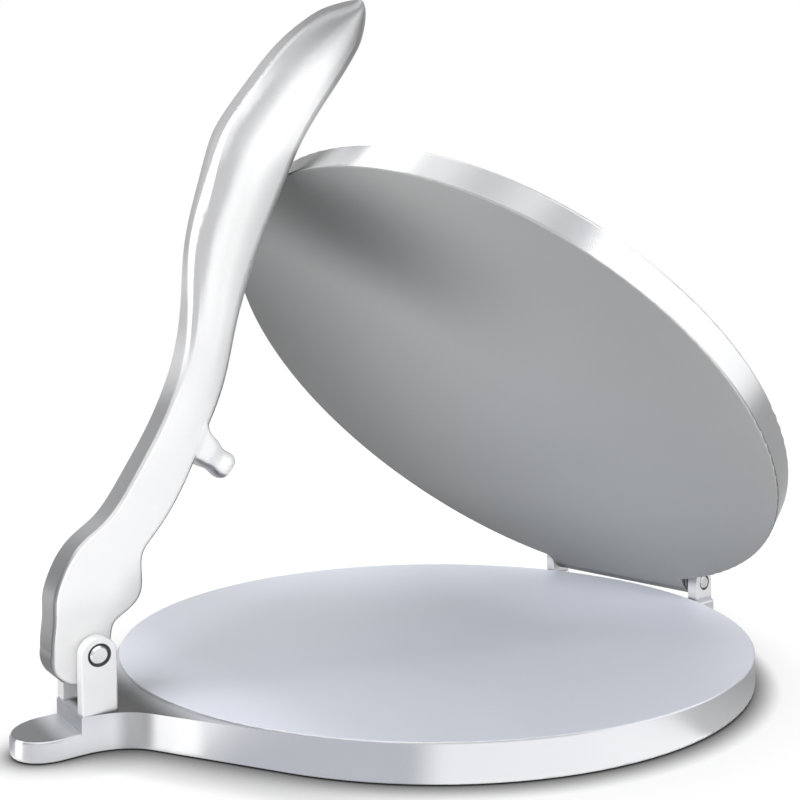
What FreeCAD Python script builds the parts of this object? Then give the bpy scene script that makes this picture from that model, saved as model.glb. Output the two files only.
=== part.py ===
import FreeCAD, Part
import math
import os

V = FreeCAD.Vector
X_AXIS = V(1, 0, 0)
Y_AXIS = V(0, 1, 0)
Z_AXIS = V(0, 0, 1)
FULL_TURN = 360.0

# Allowances shared by the castings, in millimetres
OVERRUN = 2.0
ROOT_SINK = 1.2
RUNNING_CLEARANCE = 0.06

# Base casting: round press plate, hollow below
FACE_RADIUS = 100.0
FACE_ROUND = 0.5
BASE_HEIGHT = 10.0
BASE_WEB = 5.0
BASE_RIM_WALL = 6.5
BASE_FOOT_ROUND = 1.5
POCKET_DRAFT = 0.6
POCKET_ROUND = 1.2

# Ribs, ring and boss under the base
BASE_RIB_COUNT = 8
BASE_RIB_ROOT = 4.5
BASE_RIB_TIP = 3.2
BASE_RIB_RELIEF = 1.0
BASE_RING_RADIUS = 52.0
BASE_BOSS_RADIUS = 15.0
BASE_BOSS_DRAFT = 0.8

# Lever tongue of the base
TONGUE_NOSE_BEYOND_PIVOT = 9.0
TONGUE_RISER_LEDGE = 0.2
TONGUE_LOW_HEIGHT = 5.6
TONGUE_TOP_ROUND = 0.8
FLARE_ANGLE = 30.0
FLARE_RADIUS = 16.0

# Lever ears and the lever pivot
PIVOT_BEYOND_FACE = 15.0
PIVOT_HEIGHT = 24.0
LEVER_EAR_RADIUS = 4.45
LEVER_EAR_THICKNESS = 3.8
LEVER_HUB_GAP = 0.3
EAR_EDGE_BREAK = 0.5
HOLE_MOUTH = 0.45

# Pins
LEVER_PIN_RADIUS = 2.3
HINGE_PIN_RADIUS = 2.3
PIN_PROUD = 0.3
PIN_END_BREAK = 0.5

# Upper casting: press plate with rim, ribs and lever pad
PLATE_OVERHANG = 2.0
PLATE_SHIFT = 3.5
PLATE_RIM_HEIGHT = 9.6
PLATE_WEB = 4.5
PLATE_RIM_WALL = 5.5
PLATE_FACE_ROUND = 0.6
PLATE_TOP_ROUND = 1.4
PLATE_INNER_ROUND = 0.8
CLOSED_GAP = 0.6
PLATE_RIB_COUNT = 6
PLATE_RIB_ROOT = 5.5
PLATE_RIB_TIP = 4.0
PLATE_RIB_RELIEF = 1.2
PLATE_BOSS_RADIUS = 17.0
PLATE_BOSS_DRAFT = 1.0
LEVER_PAD_RADIUS = 12.0
LEVER_PAD_DRAFT = 1.0

# Rear hinge of the plates
HINGE_BEYOND_FACE = 0.2
HINGE_EAR_THICKNESS = 4.0
HINGE_BARREL_LENGTH = 65.0
HINGE_SIDE_GAP = 0.5
LUG_WIDTH = 8.0
LUG_HEIGHT = 9.0
LUG_CORNER = 3.0

# Lever casting
LEVER_ANGLE = 65.4
LEVER_REACH = 205.0
LEVER_THICKNESS = 11.0
CROWN_CORNER_SHARE = 1.45
HUB_RADIUS = 7.4
HUB_SHIFT_BACK = 1.8
HUB_SHIFT_OUT = 2.3
HUB_EDGE_ROUND = 1.2
HUB_SIDE_RELIEF = 0.06
LEAN_GAP = 0.3
LEAN_FRONT_SHARE = 0.0105

# Pressing nub on the lever
NUB_REACH = 59.7
NUB_TILT = 12.4
NUB_LENGTH = 19.5

# Places that follow from the sizes above
PIVOT_REACH = FACE_RADIUS + PIVOT_BEYOND_FACE
HINGE_REACH = FACE_RADIUS + HINGE_BEYOND_FACE
HINGE_HEIGHT = BASE_HEIGHT + CLOSED_GAP + PLATE_RIM_HEIGHT / 2
PLATE_RADIUS = FACE_RADIUS + PLATE_OVERHANG
TONGUE_TIP_CENTRE = PIVOT_REACH + TONGUE_NOSE_BEYOND_PIVOT
SLOT_HALF = LEVER_THICKNESS / 2 + LEVER_HUB_GAP
TONGUE_HALF_WIDTH = SLOT_HALF + LEVER_EAR_THICKNESS
TONGUE_RISER = PIVOT_REACH + LEVER_EAR_RADIUS + TONGUE_RISER_LEDGE

# Lever stations, all along the lever reach, seen from the side:
# distance from the pivot, back edge, front edge
LEVER_OUTLINE_SHARES = (
    (-0.029, 0.0405, 0.0185),
    (-0.015, 0.0470, 0.0235),
    (0.000, 0.0530, 0.0215),
    (0.032, 0.0650, 0.0125),
    (0.061, 0.0727, 0.0250),
    (0.091, 0.0726, 0.0285),
    (0.123, 0.0634, 0.0145),
    (0.168, 0.0436, 0.0220),
    (0.220, 0.0359, 0.0304),
    (0.273, 0.0303, 0.0325),
    (0.322, 0.0290, 0.0335),
    (0.380, 0.0346, 0.0316),
    (0.439, 0.0513, 0.0228),
    (0.490, 0.0719, 0.0168),
    (0.541, 0.0886, 0.0130),
    (0.595, 0.0987, 0.0112),
    (0.654, 0.1075, 0.0105),
    (0.723, 0.1056, 0.0105),
    (0.807, 0.0889, 0.0200),
    (0.880, 0.0678, 0.0331),
    (0.930, 0.0454, 0.0396),
    (0.965, 0.0215, 0.0371),
    (0.986, 0.0023, 0.0280),
    (0.997, -0.0092, 0.0180),
)

# Thickness, roundness of the edges and crown of the sides at the same stations
LEVER_SECTION_SHARES = (
    (1.00, 0.22, 0.00),
    (1.00, 0.22, 0.00),
    (1.00, 0.22, 0.00),
    (1.00, 0.22, 0.00),
    (1.00, 0.22, 0.00),
    (1.00, 0.22, 0.00),
    (1.00, 0.22, 0.00),
    (1.00, 0.22, 0.00),
    (1.00, 0.24, 0.01),
    (1.00, 0.26, 0.03),
    (1.00, 0.30, 0.06),
    (1.00, 0.42, 0.11),
    (1.00, 0.60, 0.17),
    (1.00, 0.78, 0.23),
    (1.00, 0.88, 0.28),
    (1.00, 0.92, 0.32),
    (1.00, 0.93, 0.34),
    (1.00, 0.93, 0.36),
    (1.00, 0.93, 0.36),
    (1.00, 0.93, 0.36),
    (0.99, 0.93, 0.35),
    (0.93, 0.88, 0.30),
    (0.74, 0.70, 0.15),
    (0.40, 0.60, 0.10),
)

# Nub stations in shares of the nub length: distance out of the lever,
# half width, half thickness, roundness
NUB_SHARES = (
    (0.08, 0.345, 0.262, 0.25),
    (0.24, 0.320, 0.272, 0.25),
    (0.32, 0.262, 0.270, 0.30),
    (0.42, 0.226, 0.262, 0.45),
    (0.62, 0.207, 0.235, 0.75),
    (0.86, 0.197, 0.205, 0.92),
    (0.95, 0.186, 0.190, 0.95),
    (0.99, 0.152, 0.155, 0.95),
    (1.00, 0.118, 0.120, 0.95),
)


# General helpers

def single(shape):
    # One casting is one solid
    return shape.removeSplitter().Solids[0]


def prism_along_y(wire, y_from, y_to):
    face = Part.Face(wire)
    face.translate(V(0, y_from, 0))
    return face.extrude(V(0, y_to - y_from, 0))


def rod_along_y(x, z, radius, half_length, end_break):
    rod = Part.makeCylinder(radius, half_length * 2, V(x, -half_length, z), Y_AXIS)
    if end_break > 0:
        ends = [e for e in rod.Edges if isinstance(e.Curve, Part.Circle)]
        rod = rod.makeChamfer(end_break, ends)
    return rod


def bore_along_y(x, z, radius, half_length):
    reach = half_length + OVERRUN
    return Part.makeCylinder(radius, reach * 2, V(x, -reach, z), Y_AXIS)


def circles_at(shape, height, tolerance):
    found = []
    for edge in shape.Edges:
        box = edge.BoundBox
        if abs(box.ZMin - height) < tolerance and abs(box.ZMax - height) < tolerance:
            found.append(edge)
    return found


def tapered_rib(length, root, tip, height):
    # Rib along +X from the origin, root below and tip above
    points = [
        V(0, -root / 2, 0),
        V(0, root / 2, 0),
        V(0, tip / 2, height),
        V(0, -tip / 2, height),
        V(0, -root / 2, 0),
    ]
    face = Part.Face(Part.makePolygon(points))
    return face.extrude(V(length, 0, 0))


def mouth_along_y(x, z, radius, y_face, outward):
    # Countersunk mouth of a pin hole, opening towards the outer face
    wide = radius + HOLE_MOUTH
    start = V(x, y_face - outward * HOLE_MOUTH, z)
    cone = Part.makeCone(radius, wide, HOLE_MOUTH, start, Y_AXIS * outward)
    return cone


def tombstone(x, foot_height, centre_height, radius):
    # Upright ear outline with a round head, in the XZ plane
    left = V(x - radius, 0, foot_height)
    right = V(x + radius, 0, foot_height)
    top_left = V(x - radius, 0, centre_height)
    top_right = V(x + radius, 0, centre_height)
    crown = V(x, 0, centre_height + radius)
    edges = [
        Part.LineSegment(left, top_left).toShape(),
        Part.Arc(top_left, crown, top_right).toShape(),
        Part.LineSegment(top_right, right).toShape(),
        Part.LineSegment(right, left).toShape(),
    ]
    return Part.Wire(edges)


def break_ear_edges(ear, size):
    # Round the long edges of an ear that lie on its two side faces
    picked = []
    for edge in ear.Edges:
        box = edge.BoundBox
        flat = box.YMax - box.YMin < size
        above = box.ZMax > ear.BoundBox.ZMin + size
        if flat and above:
            picked.append(edge)
    return ear.makeFillet(size, picked)


# Base casting

def base_outline():
    w = TONGUE_HALF_WIDTH
    flare = math.radians(FLARE_ANGLE)
    corner_x = -(FACE_RADIUS - w * math.sin(flare)) / math.cos(flare)
    turn = math.pi / 2 - flare
    run = FLARE_RADIUS * math.tan(turn / 2)
    edges = []
    joins = []
    for side in (-1, 1):
        touch = V(-FACE_RADIUS * math.cos(flare), side * FACE_RADIUS * math.sin(flare), 0)
        corner = V(corner_x, side * w, 0)
        along = touch - corner
        along.normalize()
        arc_in = corner + V(-run, 0, 0)
        arc_out = corner + along * run
        centre = V(arc_in.x, side * (w + FLARE_RADIUS), 0)
        inward = corner - centre
        inward.normalize()
        middle = centre + inward * FLARE_RADIUS
        tip = V(-TONGUE_TIP_CENTRE, side * w, 0)
        edges.append(Part.LineSegment(tip, arc_in).toShape())
        edges.append(Part.Arc(arc_in, middle, arc_out).toShape())
        edges.append(Part.LineSegment(arc_out, touch).toShape())
        joins.append((tip, touch))
    nose = V(-TONGUE_TIP_CENTRE - w, 0, 0)
    edges.append(Part.Arc(joins[0][0], nose, joins[1][0]).toShape())
    rear = V(FACE_RADIUS, 0, 0)
    edges.append(Part.Arc(joins[0][1], rear, joins[1][1]).toShape())
    return Part.Wire(Part.__sortEdges__(edges))


def base_body():
    # Full outline up to the foot of the press face, rounded along the floor
    body = Part.Face(base_outline()).extrude(V(0, 0, BASE_HEIGHT - FACE_ROUND))
    body = body.makeFillet(BASE_FOOT_ROUND, circles_at(body, 0, FACE_ROUND))
    # Low end of the tongue in front of the ears
    reach = TONGUE_TIP_CENTRE + TONGUE_HALF_WIDTH + OVERRUN
    notch = Part.makeBox(
        reach - TONGUE_RISER,
        (TONGUE_HALF_WIDTH + OVERRUN) * 2,
        BASE_HEIGHT,
        V(-reach, -TONGUE_HALF_WIDTH - OVERRUN, TONGUE_LOW_HEIGHT),
    )
    body = body.cut(notch)
    rim = []
    for edge in circles_at(body, TONGUE_LOW_HEIGHT, FACE_ROUND / 2):
        if edge.BoundBox.XMin < -TONGUE_RISER - FACE_ROUND:
            rim.append(edge)
    body = body.makeFillet(TONGUE_TOP_ROUND, rim)
    # Raised press face with its rounded edge
    foot = BASE_HEIGHT - FACE_ROUND - ROOT_SINK
    pad = Part.makeCylinder(FACE_RADIUS, BASE_HEIGHT - foot, V(0, 0, foot))
    pad = pad.makeFillet(FACE_ROUND, circles_at(pad, BASE_HEIGHT, FACE_ROUND / 2))
    return body.fuse(pad)


def base_pocket():
    depth = BASE_HEIGHT - BASE_WEB
    mouth = FACE_RADIUS - BASE_RIM_WALL
    slope = POCKET_DRAFT * OVERRUN / depth
    tool = Part.makeCone(mouth + slope, mouth - POCKET_DRAFT, depth + OVERRUN, V(0, 0, -OVERRUN))
    return tool.makeFillet(POCKET_ROUND, circles_at(tool, depth, POCKET_ROUND / 2))


def base_ribs():
    # Ribs hang from the web and stop short of the table
    depth = BASE_HEIGHT - BASE_WEB
    height = depth - BASE_RIB_RELIEF + ROOT_SINK
    length = FACE_RADIUS - BASE_RIM_WALL + ROOT_SINK
    parts = []
    for index in range(BASE_RIB_COUNT):
        rib = tapered_rib(length, BASE_RIB_ROOT, BASE_RIB_TIP, height)
        rib.rotate(V(0, 0, 0), X_AXIS, FULL_TURN / 2)
        rib.translate(V(0, 0, depth + ROOT_SINK))
        rib.rotate(V(0, 0, 0), Z_AXIS, FULL_TURN * (index + 0.5) / BASE_RIB_COUNT)
        parts.append(rib)
    inner = BASE_RING_RADIUS - BASE_RIB_ROOT / 2
    outer = BASE_RING_RADIUS + BASE_RIB_ROOT / 2
    lean = (BASE_RIB_ROOT - BASE_RIB_TIP) / 2
    section = Part.makePolygon([
        V(inner, 0, depth + ROOT_SINK),
        V(outer, 0, depth + ROOT_SINK),
        V(outer - lean, 0, BASE_RIB_RELIEF),
        V(inner + lean, 0, BASE_RIB_RELIEF),
        V(inner, 0, depth + ROOT_SINK),
    ])
    parts.append(Part.Face(section).revolve(V(0, 0, 0), Z_AXIS, FULL_TURN))
    boss = Part.makeCone(BASE_BOSS_RADIUS - BASE_BOSS_DRAFT, BASE_BOSS_RADIUS, depth + ROOT_SINK)
    parts.append(boss)
    return parts


def lever_ears():
    foot = BASE_HEIGHT - FACE_ROUND - ROOT_SINK
    ears = []
    for side in (-1, 1):
        near = side * SLOT_HALF
        far = side * TONGUE_HALF_WIDTH
        wire = tombstone(-PIVOT_REACH, foot, PIVOT_HEIGHT, LEVER_EAR_RADIUS)
        ear = prism_along_y(wire, min(near, far), max(near, far))
        ears.append(break_ear_edges(ear, EAR_EDGE_BREAK))
    return ears


def rear_lugs():
    radius = PLATE_RIM_HEIGHT / 2
    inner = HINGE_BARREL_LENGTH / 2 + HINGE_SIDE_GAP
    middle = inner + HINGE_EAR_THICKNESS / 2
    back = HINGE_REACH + radius
    outer = middle + LUG_WIDTH / 2
    front = math.sqrt(FACE_RADIUS ** 2 - outer ** 2) - ROOT_SINK
    lugs = []
    for side in (-1, 1):
        corner = V(front, side * middle - LUG_WIDTH / 2, 0)
        block = Part.makeBox(back - front, LUG_WIDTH, LUG_HEIGHT, corner)
        uprights = []
        for edge in block.Edges:
            box = edge.BoundBox
            if box.XMin > back - FACE_ROUND and box.ZMax - box.ZMin > LUG_HEIGHT / 2:
                uprights.append(edge)
        block = block.makeFillet(LUG_CORNER, uprights)
        top = []
        for edge in circles_at(block, LUG_HEIGHT, FACE_ROUND / 2):
            if edge.BoundBox.XMax > front + FACE_ROUND:
                top.append(edge)
        block = block.makeFillet(TONGUE_TOP_ROUND, top)
        low = []
        for edge in circles_at(block, 0, FACE_ROUND / 2):
            if edge.BoundBox.XMax > front + FACE_ROUND:
                low.append(edge)
        block = block.makeFillet(BASE_FOOT_ROUND, low)
        foot = LUG_HEIGHT - TONGUE_TOP_ROUND - ROOT_SINK
        wire = tombstone(HINGE_REACH, foot, HINGE_HEIGHT, radius)
        near = side * inner
        far = side * (inner + HINGE_EAR_THICKNESS)
        ear = prism_along_y(wire, min(near, far), max(near, far))
        ear = break_ear_edges(ear, EAR_EDGE_BREAK)
        lugs.append(block.fuse(ear))
    return lugs


def make_base():
    body = base_body().cut(base_pocket())
    body = body.fuse(base_ribs() + rear_lugs())
    body = body.fuse(lever_ears())
    # Lever pin holes with a small countersink on the outer faces
    lever_bore = LEVER_PIN_RADIUS + RUNNING_CLEARANCE
    body = body.cut(bore_along_y(-PIVOT_REACH, PIVOT_HEIGHT, lever_bore, TONGUE_HALF_WIDTH))
    # Hinge pin holes through the rear ears
    hinge_bore = HINGE_PIN_RADIUS + RUNNING_CLEARANCE
    hinge_face = HINGE_BARREL_LENGTH / 2 + HINGE_SIDE_GAP + HINGE_EAR_THICKNESS
    body = body.cut(bore_along_y(HINGE_REACH, HINGE_HEIGHT, hinge_bore, hinge_face))
    for side in (-1, 1):
        body = body.cut(mouth_along_y(-PIVOT_REACH, PIVOT_HEIGHT, lever_bore, side * TONGUE_HALF_WIDTH, side))
        body = body.cut(mouth_along_y(HINGE_REACH, HINGE_HEIGHT, hinge_bore, side * hinge_face, side))
    return single(body)


# Where the castings meet

def lever_pad_reach():
    # The nub sweeps about the pivot and lands level with the rim of the closed plate
    tilt = math.radians(NUB_TILT)
    along = NUB_REACH - NUB_LENGTH * math.sin(tilt)
    front = NUB_LENGTH * math.cos(tilt)
    drop = PIVOT_HEIGHT - HINGE_HEIGHT - PLATE_RIM_HEIGHT / 2
    return PIVOT_REACH - math.sqrt(along ** 2 + front ** 2 - drop ** 2)


def open_angle():
    # Turn of the plate at which its free edge leans on the front of the lever
    turn = math.radians(LEVER_ANGLE)
    reach = PLATE_RADIUS + PLATE_SHIFT + HINGE_REACH
    half = PLATE_RIM_HEIGHT / 2
    swing = math.sqrt(reach ** 2 + half ** 2)
    front = LEAN_FRONT_SHARE * LEVER_REACH + LEAN_GAP
    rise = HINGE_HEIGHT - PIVOT_HEIGHT
    span = HINGE_REACH + PIVOT_REACH
    off_line = span * math.sin(turn) - rise * math.cos(turn) - front
    return math.degrees(math.pi / 2 - turn + math.acos(off_line / swing) + math.atan2(half, reach))


# Upper casting, modelled closed

def make_upper_plate():
    under = BASE_HEIGHT + CLOSED_GAP
    top = under + PLATE_RIM_HEIGHT
    middle = V(-PLATE_SHIFT, 0, under)
    disc = Part.makeCylinder(PLATE_RADIUS, PLATE_RIM_HEIGHT, middle)
    disc = disc.makeFillet(PLATE_FACE_ROUND, circles_at(disc, under, PLATE_FACE_ROUND / 2))
    disc = disc.makeFillet(PLATE_TOP_ROUND, circles_at(disc, top, PLATE_FACE_ROUND / 2))
    # Hinge barrel and the full-height land that joins it to the rim
    radius = PLATE_RIM_HEIGHT / 2
    half = HINGE_BARREL_LENGTH / 2
    barrel = rod_along_y(HINGE_REACH, HINGE_HEIGHT, radius, half, EAR_EDGE_BREAK)
    front = math.sqrt(PLATE_RADIUS ** 2 - half ** 2) - PLATE_SHIFT - ROOT_SINK
    land = Part.makeBox(
        HINGE_REACH - front,
        (half - EAR_EDGE_BREAK) * 2,
        PLATE_RIM_HEIGHT,
        V(front, EAR_EDGE_BREAK - half, under),
    )
    body = disc.fuse([barrel, land])
    # Hollow back with a rounded floor corner
    pocket_radius = PLATE_RADIUS - PLATE_RIM_WALL
    depth = PLATE_RIM_HEIGHT - PLATE_WEB
    floor = under + PLATE_WEB
    pocket = Part.makeCone(
        pocket_radius - POCKET_DRAFT,
        pocket_radius + POCKET_DRAFT * OVERRUN / depth,
        depth + OVERRUN,
        V(-PLATE_SHIFT, 0, floor),
    )
    pocket = pocket.makeFillet(POCKET_ROUND, circles_at(pocket, floor, PLATE_FACE_ROUND / 2))
    body = body.cut(pocket)
    inner_edge = []
    for edge in circles_at(body, top, PLATE_FACE_ROUND / 2):
        if isinstance(edge.Curve, Part.Circle) and edge.Curve.Radius < pocket_radius + POCKET_DRAFT:
            inner_edge.append(edge)
    body = body.makeFillet(PLATE_INNER_ROUND, inner_edge)
    # Ribs from the middle boss to the rim, one of them under the lever pad
    height = depth - PLATE_RIB_RELIEF + ROOT_SINK
    parts = []
    for index in range(PLATE_RIB_COUNT):
        rib = tapered_rib(pocket_radius, PLATE_RIB_ROOT, PLATE_RIB_TIP, height)
        rib.rotate(V(0, 0, 0), Z_AXIS, FULL_TURN * index / PLATE_RIB_COUNT)
        rib.translate(V(-PLATE_SHIFT, 0, floor - ROOT_SINK))
        parts.append(rib)
    boss = Part.makeCone(
        PLATE_BOSS_RADIUS,
        PLATE_BOSS_RADIUS - PLATE_BOSS_DRAFT,
        height,
        V(-PLATE_SHIFT, 0, floor - ROOT_SINK),
    )
    pad_height = depth + ROOT_SINK
    pad = Part.makeCone(
        LEVER_PAD_RADIUS,
        LEVER_PAD_RADIUS - LEVER_PAD_DRAFT,
        pad_height,
        V(-lever_pad_reach(), 0, floor - ROOT_SINK),
    )
    parts.append(boss)
    parts.append(pad)
    body = body.fuse(parts)
    body = body.cut(bore_along_y(HINGE_REACH, HINGE_HEIGHT, HINGE_PIN_RADIUS, half))
    return single(body)


# Lever casting

def lever_point(along, front, y):
    # Point in the lever frame: along the lever, towards its front edge, across
    turn = math.radians(LEVER_ANGLE)
    x = -PIVOT_REACH + along * math.cos(turn) + front * math.sin(turn)
    z = PIVOT_HEIGHT + along * math.sin(turn) - front * math.cos(turn)
    return V(x, y, z)


def nub_point(out, side, y):
    # Point in the nub frame, which leans towards the hub from square to the lever
    tilt = math.radians(NUB_TILT)
    along = NUB_REACH - out * math.sin(tilt) + side * math.cos(tilt)
    front = out * math.cos(tilt) + side * math.sin(tilt)
    return lever_point(along, front, y)


def curve_through(start, pull, end):
    # Smooth edge that leaves start and reaches end along the lines to the pull point
    curve = Part.BezierCurve()
    curve.setPoles([start, pull, end])
    return curve.toShape()


def rounded_section(place, reach, middle, half_wide, half_thick, round_share, crown_share):
    # Rectangle with rounded edges and crowned sides; place turns the numbers into a point
    corner = min(half_thick, half_wide) * round_share
    side_end = half_wide - corner * (1 - CROWN_CORNER_SHARE * crown_share)
    edge_end = half_thick * (1 - round_share)
    shoulder = half_thick * (1 - crown_share)
    crest = half_thick * (1 + crown_share)
    slope = 2 * half_thick * crown_share / side_end
    pull = shoulder - slope * (half_wide - side_end)
    edges = []
    # Walk round the section: front edge, near side, back edge, far side
    for front, near in ((1, 1), (-1, -1)):
        first = place(reach, middle + front * half_wide, near * edge_end)
        turn_in = place(reach, middle + front * half_wide, near * pull)
        side_start = place(reach, middle + front * side_end, near * shoulder)
        side_top = place(reach, middle, near * crest)
        side_stop = place(reach, middle - front * side_end, near * shoulder)
        turn_out = place(reach, middle - front * half_wide, near * pull)
        last = place(reach, middle - front * half_wide, near * edge_end)
        across = place(reach, middle - front * half_wide, -near * edge_end)
        edges.append(curve_through(first, turn_in, side_start))
        edges.append(curve_through(side_start, side_top, side_stop))
        edges.append(curve_through(side_stop, turn_out, last))
        edges.append(Part.LineSegment(last, across).toShape())
    return Part.Wire(edges)


def lever_nub():
    sections = []
    for shares in NUB_SHARES:
        out, half_wide, half_thick = (share * NUB_LENGTH for share in shares[:3])
        sections.append(rounded_section(nub_point, out, 0, half_wide, half_thick, shares[3], 0))
    return Part.makeLoft(sections, True, False)


def lever_hub():
    middle = lever_point(-HUB_SHIFT_BACK, -HUB_SHIFT_OUT, 0)
    hub = rod_along_y(middle.x, middle.z, HUB_RADIUS, LEVER_THICKNESS / 2 - HUB_SIDE_RELIEF, 0)
    ends = [e for e in hub.Edges if isinstance(e.Curve, Part.Circle)]
    return hub.makeFillet(HUB_EDGE_ROUND, ends)


def make_lever():
    sections = []
    for outline, section in zip(LEVER_OUTLINE_SHARES, LEVER_SECTION_SHARES):
        along, back, front = (share * LEVER_REACH for share in outline)
        half_thick = LEVER_THICKNESS / 2 * section[0]
        middle = (front - back) / 2
        half_wide = (front + back) / 2
        wire = rounded_section(
            lever_point, along, middle, half_wide, half_thick, section[1], section[2]
        )
        sections.append(wire)
    arm = Part.makeLoft(sections, True, False)
    body = arm.fuse([lever_hub(), lever_nub()])
    body = body.cut(bore_along_y(-PIVOT_REACH, PIVOT_HEIGHT, LEVER_PIN_RADIUS, LEVER_THICKNESS / 2))
    return single(body)


# Pins

def make_lever_pin():
    half = TONGUE_HALF_WIDTH + PIN_PROUD
    return rod_along_y(-PIVOT_REACH, PIVOT_HEIGHT, LEVER_PIN_RADIUS, half, PIN_END_BREAK)


def make_hinge_pin():
    half = HINGE_BARREL_LENGTH / 2 + HINGE_SIDE_GAP + HINGE_EAR_THICKNESS + PIN_PROUD
    return rod_along_y(HINGE_REACH, HINGE_HEIGHT, HINGE_PIN_RADIUS, half, PIN_END_BREAK)


# Build and export, with the upper plate turned open about its hinge

def main():
    os.makedirs("parts", exist_ok=True)
    hinge = V(HINGE_REACH, 0, HINGE_HEIGHT)
    base = make_base()
    lever = make_lever()
    lever_pin = make_lever_pin()
    plate = make_upper_plate()
    hinge_pin = make_hinge_pin()
    plate.rotate(hinge, Y_AXIS, open_angle())
    hinge_pin.rotate(hinge, Y_AXIS, open_angle())
    nodes = {
        "base": base,
        "lever": lever,
        "lever_pin": lever_pin,
        "upper_plate": plate,
        "hinge_pin": hinge_pin,
    }
    for name, shape in nodes.items():
        shape.exportStep("parts/" + name + ".step")
        print(name, shape.ShapeType, len(shape.Solids), shape.isValid(), round(shape.Volume, 1))
    print("open angle", round(open_angle(), 3), "pad", round(lever_pad_reach(), 2))
    print("plate to lever gap", round(plate.distToShape(lever)[0], 3))
    print("lever to base gap", round(lever.distToShape(base)[0], 3))
    print("plate to base gap", round(plate.distToShape(base)[0], 3))


main()
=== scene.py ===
"""Looks of the cast aluminium tortilla press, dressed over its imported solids."""

import logging
import math
from dataclasses import dataclass, field
from enum import Enum
from typing import Any, Sequence

import bpy
from mathutils import Matrix, Vector

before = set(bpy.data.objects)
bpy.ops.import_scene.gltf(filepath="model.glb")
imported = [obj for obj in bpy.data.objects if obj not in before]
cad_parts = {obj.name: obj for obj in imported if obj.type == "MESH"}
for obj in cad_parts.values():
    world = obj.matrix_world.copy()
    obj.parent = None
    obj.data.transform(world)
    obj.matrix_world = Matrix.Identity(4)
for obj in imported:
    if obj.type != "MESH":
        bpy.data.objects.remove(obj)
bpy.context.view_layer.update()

LOG = logging.getLogger("tortilla_press")
MM = 0.001

Colour = tuple[float, float, float]
Axes = tuple[float, float, float]
# Where a soft change starts and where it is complete; the second number may be the smaller one
Span = tuple[float, float]
# Start of a rise, its end, start of the fall, its end
Band = tuple[float, float, float, float]


def millimetres(*lengths: float) -> tuple[float, ...]:
    """Return lengths given in millimetres in metres."""
    return tuple(length * MM for length in lengths)


# ---------------------------------------------------------------- shader maths


class Sock:
    """One shader socket that takes part in Python sums."""

    def __init__(self, tree: "ShaderTree", socket: bpy.types.NodeSocket) -> None:
        """Keep the tree that gets new nodes and the output socket that carries the value."""
        self.tree = tree
        self.socket = socket

    def _maths(self, operation: str, first: Any, second: Any) -> "Sock":
        """Add one Math node and return its value."""
        return self.tree.add("ShaderNodeMath", {"operation": operation}, {0: first, 1: second})

    def __add__(self, other: Any) -> "Sock":
        """Return self + other."""
        return self._maths("ADD", self, other)

    def __radd__(self, other: Any) -> "Sock":
        """Return other + self."""
        return self._maths("ADD", other, self)

    def __sub__(self, other: Any) -> "Sock":
        """Return self - other."""
        return self._maths("SUBTRACT", self, other)

    def __rsub__(self, other: Any) -> "Sock":
        """Return other - self."""
        return self._maths("SUBTRACT", other, self)

    def __mul__(self, other: Any) -> "Sock":
        """Return self * other."""
        return self._maths("MULTIPLY", self, other)

    def __rmul__(self, other: Any) -> "Sock":
        """Return other * self."""
        return self._maths("MULTIPLY", other, self)

    def __truediv__(self, other: Any) -> "Sock":
        """Return self / other."""
        return self._maths("DIVIDE", self, other)

    def __rtruediv__(self, other: Any) -> "Sock":
        """Return other / self."""
        return self._maths("DIVIDE", other, self)

    def __neg__(self) -> "Sock":
        """Return -self."""
        return self._maths("MULTIPLY", self, -1.0)

    def greatest(self, other: Any) -> "Sock":
        """Return the larger of self and other."""
        return self._maths("MAXIMUM", self, other)

    def size(self) -> "Sock":
        """Return the value without its sign."""
        return self.greatest(-self)

    def power(self, exponent: float) -> "Sock":
        """Return the value raised to a power."""
        return self._maths("POWER", self, exponent)

    def distance(self, other: "Sock") -> "Sock":
        """Return the length of the vector whose two parts are self and other."""
        return self._maths("SQRT", self * self + other * other, 0.0)

    def azimuth(self, other: "Sock") -> "Sock":
        """Return the way of (other, self) in turns: 0.5 along other, 0 and 1 against it."""
        return self._maths("ARCTAN2", self, other) / (2 * math.pi) + 0.5

    def ease(self, low: float, high: float) -> "Sock":
        """Rise smoothly from 0 at low to 1 at high.

        Args:
            low: Value at which the result is 0.
            high: Value at which the result is 1; below low it makes a fall.

        Returns:
            A number from 0 to 1.
        """
        settings = {"interpolation_type": "SMOOTHSTEP", "clamp": True}
        inputs = {0: self, 1: low, 2: high, 3: 0.0, 4: 1.0}
        if high < low:
            inputs = {0: self, 1: high, 2: low, 3: 1.0, 4: 0.0}
        return self.tree.add("ShaderNodeMapRange", settings, inputs)

    def band(self, start: float, rise: float, fall: float, end: float) -> "Sock":
        """Return 1 between rise and fall, and 0 before start and after end."""
        return self.ease(start, rise) * self.ease(end, fall)

    def change(self, span: Span, before: float, after: float) -> "Sock":
        """Go smoothly from one number to another over a span of this value."""
        return before + self.ease(*span) * (after - before)


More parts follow.
